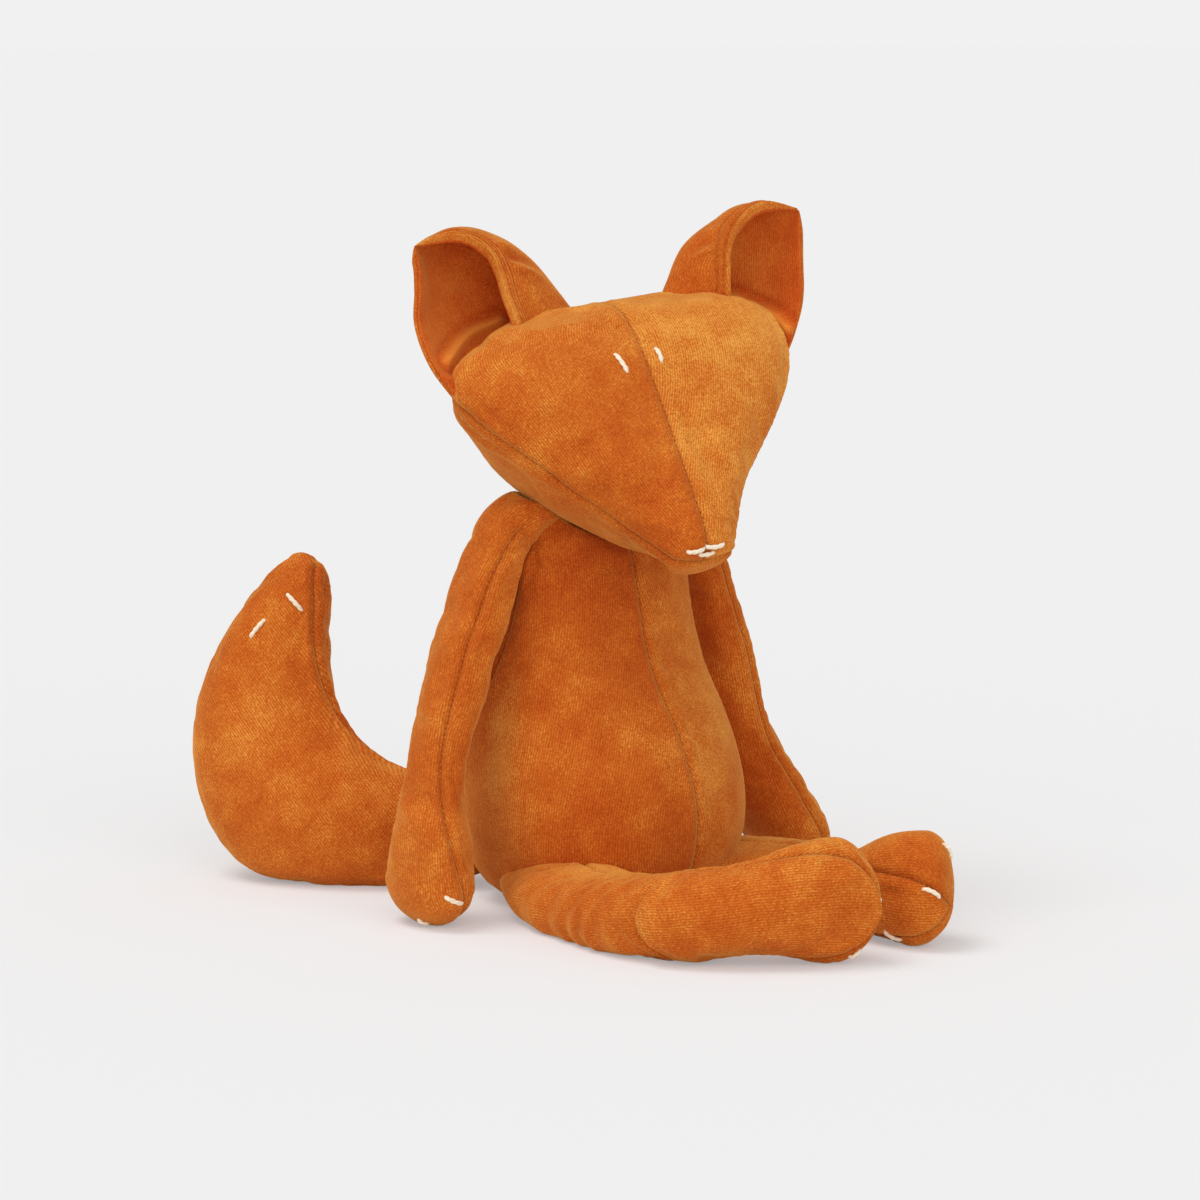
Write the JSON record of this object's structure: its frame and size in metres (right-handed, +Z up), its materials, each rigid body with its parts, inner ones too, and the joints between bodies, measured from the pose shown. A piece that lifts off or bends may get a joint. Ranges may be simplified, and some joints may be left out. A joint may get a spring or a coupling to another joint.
{
  "type": "plush fox toy",
  "caption": "Sitting plush fox sewn from velour, with a long tapering head, cupped ears, limp arms and legs, and a curled tail.",
  "frame": {"origin": "on the floor under the middle of the seat, on the flat underside of the torso", "axes": "+Z up, -Y the way the fox faces, +X to the fox's left"},
  "size_m": [0.1844, 0.2859, 0.2541],
  "materials": {
    "velour": "rust orange cotton velour, fine ribs, brushed pile",
    "ear_lining": "the same velour inside the ears, pile pressed flat",
    "fibre": "loose white polyester fibre",
    "yarn": "soft cream embroidery yarn"
  },
  "bodies": {
    "torso": {"torso_back_panel": "velour", "torso_front_right_panel": "velour", "torso_front_left_panel": "velour", "torso_stuffing": "fibre"},
    "neck": {"neck_stuffing": "fibre"},
    "head": {"head_left_face_panel": "velour", "head_right_face_panel": "velour", "head_back_panel": "velour", "head_stuffing": "fibre", "ear_right_outer": "velour", "ear_right_lining": "ear_lining", "ear_left_outer": "velour", "ear_left_lining": "ear_lining", "head_right_eye_stitch": "yarn", "head_left_eye_stitch": "yarn", "head_nose_right_stitch": "yarn", "head_nose_left_stitch": "yarn", "head_nose_lower_stitch": "yarn"},
    "arm_right": {"arm_right_outer_panel": "velour", "arm_right_inner_panel": "velour", "arm_right_stuffing": "fibre", "arm_right_paw_front_stitch": "yarn", "arm_right_paw_end_stitch": "yarn", "arm_right_paw_back_stitch": "yarn"},
    "arm_left": {"arm_left_outer_panel": "velour", "arm_left_inner_panel": "velour", "arm_left_stuffing": "fibre", "arm_left_paw_front_stitch": "yarn", "arm_left_paw_end_stitch": "yarn", "arm_left_paw_back_stitch": "yarn"},
    "leg_right": {"leg_right_outer_panel": "velour", "leg_right_inner_panel": "velour", "leg_right_stuffing": "fibre", "leg_right_foot_upper_stitch": "yarn", "leg_right_foot_middle_stitch": "yarn", "leg_right_foot_lower_stitch": "yarn"},
    "leg_left": {"leg_left_outer_panel": "velour", "leg_left_inner_panel": "velour", "leg_left_stuffing": "fibre", "leg_left_foot_upper_stitch": "yarn", "leg_left_foot_middle_stitch": "yarn", "leg_left_foot_lower_stitch": "yarn"},
    "tail": {"tail_near_panel": "velour", "tail_far_panel": "velour", "tail_stuffing": "fibre", "tail_upper_stitch": "yarn", "tail_lower_stitch": "yarn"}
  },
  "joints": [
    {"name": "head_turn", "type": "hinge", "parent": "torso", "child": "neck", "pos_m": [0, 0.00598, 0.157], "axis": [0, 0, 1], "range_deg": [-20, 20], "stiffness_Nm_per_rad": 0.05},
    {"name": "head_nod", "type": "hinge", "parent": "neck", "child": "head", "pos_m": [0, 0.00598, 0.157], "axis": [0.9588, -0.284, 0], "range_deg": [-10, 12], "stiffness_Nm_per_rad": 0.15},
    {"name": "arm_right_swing", "type": "hinge", "parent": "torso", "child": "arm_right", "pos_m": [-0.03553, 0.00782, 0.14136], "axis": [-0.9925, 0.1219, 0], "range_deg": [-12, 85]},
    {"name": "arm_left_swing", "type": "hinge", "parent": "torso", "child": "arm_left", "pos_m": [0.03553, 0.00782, 0.14136], "axis": [-0.9925, -0.1219, 0], "range_deg": [-12, 85]},
    {"name": "leg_right_swing", "type": "hinge", "parent": "torso", "child": "leg_right", "pos_m": [-0.03283, -0.03404, 0.0105], "axis": [-1, 0, 0], "range_deg": [-85, 20]},
    {"name": "leg_left_swing", "type": "hinge", "parent": "torso", "child": "leg_left", "pos_m": [0.03283, -0.03404, 0.0105], "axis": [-1, 0, 0], "range_deg": [-85, 20]},
    {"name": "tail_swing", "type": "hinge", "parent": "torso", "child": "tail", "pos_m": [-0.01176, 0.04416, 0.024], "axis": [0, 0, 1], "range_deg": [-60, 3]}
  ]
}
